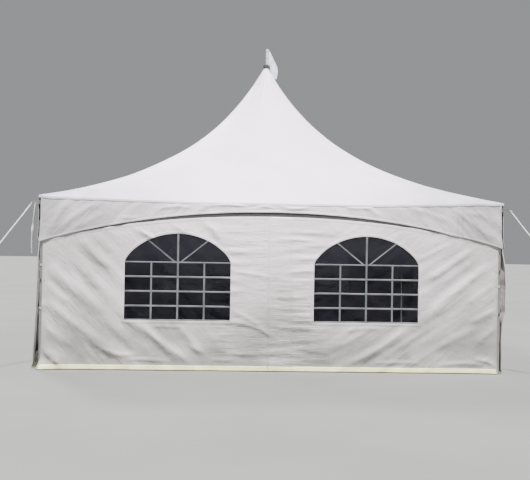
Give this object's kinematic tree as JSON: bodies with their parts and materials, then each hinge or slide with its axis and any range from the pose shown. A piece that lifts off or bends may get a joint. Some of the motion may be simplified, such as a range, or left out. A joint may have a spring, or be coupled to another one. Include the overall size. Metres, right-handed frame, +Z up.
{
  "type": "high-peak marquee tent",
  "caption": "Square high-peak marquee tent with a flared canopy, arched valances, fabric walls with arched windows, corner posts, guy straps and a pennant.",
  "frame": {"origin": "centre of the tent's square plan, on the ground", "axes": "+Z up, -Y towards the front of the tent, +X towards its right as seen from the front"},
  "size_m": [8.6502, 8.6502, 4.9233],
  "materials": {
    "canopy_cloth": "coated, satin",
    "valance_cloth": "coated, satin",
    "wall_cloth": "coated, satin",
    "window_film": "clear film, dark from outside",
    "rail_paint": "satin",
    "post_metal": "mill",
    "crown_casting": "satin",
    "flag_pole_paint": "satin",
    "pennant_cloth": "matt",
    "strap_webbing": "woven webbing",
    "stake_steel": "galvanised"
  },
  "bodies": {
    "root": {"roof_front": "canopy_cloth", "roof_right": "canopy_cloth", "roof_back": "canopy_cloth", "roof_left": "canopy_cloth", "valance_front": "valance_cloth", "valance_right": "valance_cloth", "valance_back": "valance_cloth", "valance_left": "valance_cloth", "arch_rail_front": "rail_paint", "arch_rail_right": "rail_paint", "arch_rail_back": "rail_paint", "arch_rail_left": "rail_paint", "wall_front_left": "wall_cloth", "wall_front_right": "wall_cloth", "wall_right_front": "wall_cloth", "wall_right_back": "wall_cloth", "wall_back_right": "wall_cloth", "wall_back_left": "wall_cloth", "wall_left_back": "wall_cloth", "wall_left_front": "wall_cloth", "window_front_left": "window_film", "window_front_right": "window_film", "window_right_front": "window_film", "window_right_back": "window_film", "window_back_right": "window_film", "window_back_left": "window_film", "window_left_back": "window_film", "window_left_front": "window_film", "post_front_left": "post_metal", "post_front_right": "post_metal", "post_back_right": "post_metal", "post_back_left": "post_metal", "king_pole": "post_metal", "crown_collar": "crown_casting", "flag_pole": "flag_pole_paint", "pennant": "pennant_cloth", "guy_strap_front_left": "strap_webbing", "guy_strap_front_right": "strap_webbing", "guy_strap_back_right": "strap_webbing", "guy_strap_back_left": "strap_webbing", "stake_front_left": "stake_steel", "stake_front_right": "stake_steel", "stake_back_right": "stake_steel", "stake_back_left": "stake_steel"}
  },
  "joints": []
}
